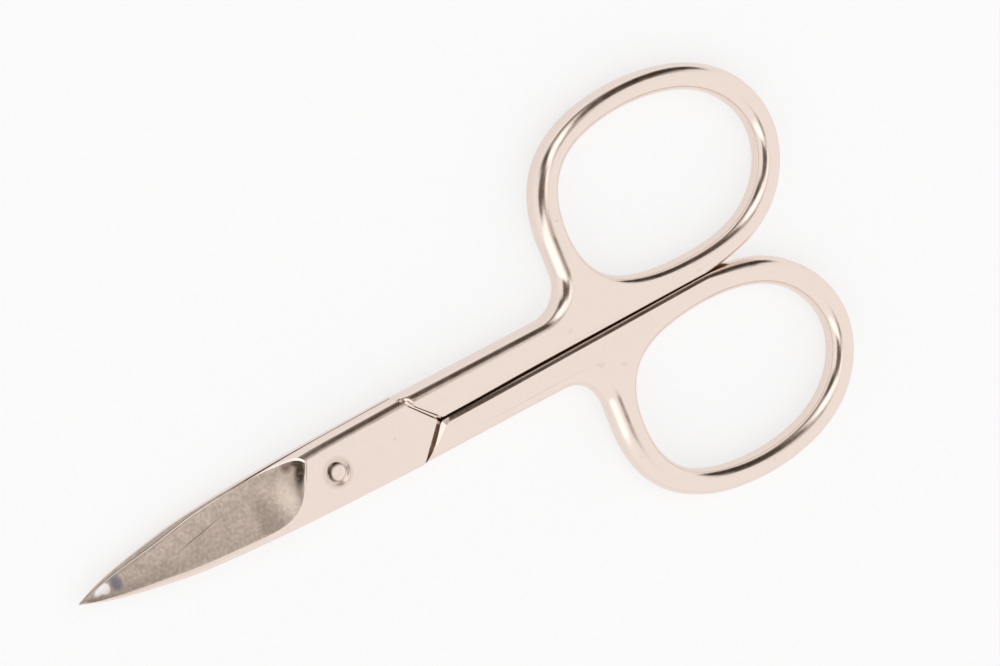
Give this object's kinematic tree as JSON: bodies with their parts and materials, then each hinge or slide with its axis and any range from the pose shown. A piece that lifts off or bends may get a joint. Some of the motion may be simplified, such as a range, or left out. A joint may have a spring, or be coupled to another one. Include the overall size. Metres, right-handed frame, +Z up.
{
  "type": "straight nail scissors",
  "caption": "Straight nail scissors: lapped steel halves with hollow-ground pointed blades, oval finger bows and a screw pivot, shown closed.",
  "frame": {"origin": "middle of the overall box in plan, on the surface that the closed scissors lie on", "axes": "+X along the scissors from the blade tips to the bows, +Y toward the front half's bow, +Z up out of the front half's face"},
  "size_m": [0.0902, 0.0456, 0.0032],
  "materials": {
    "front_nickel_plate": "polished nickel plate, satin ground blade",
    "back_nickel_plate": "polished nickel plate, satin ground blade",
    "screw_nickel_plate": "peened nickel-plated steel"
  },
  "bodies": {
    "back": {"back_half": "back_nickel_plate"},
    "front": {"front_half": "front_nickel_plate", "pivot_screw": "screw_nickel_plate"}
  },
  "joints": [
    {"name": "scissor_pivot", "type": "hinge", "parent": "back", "child": "front", "pos_m": [-0.01566, 0, 0.0016], "axis": [0, 0, 1], "range_deg": [0, 130]}
  ]
}
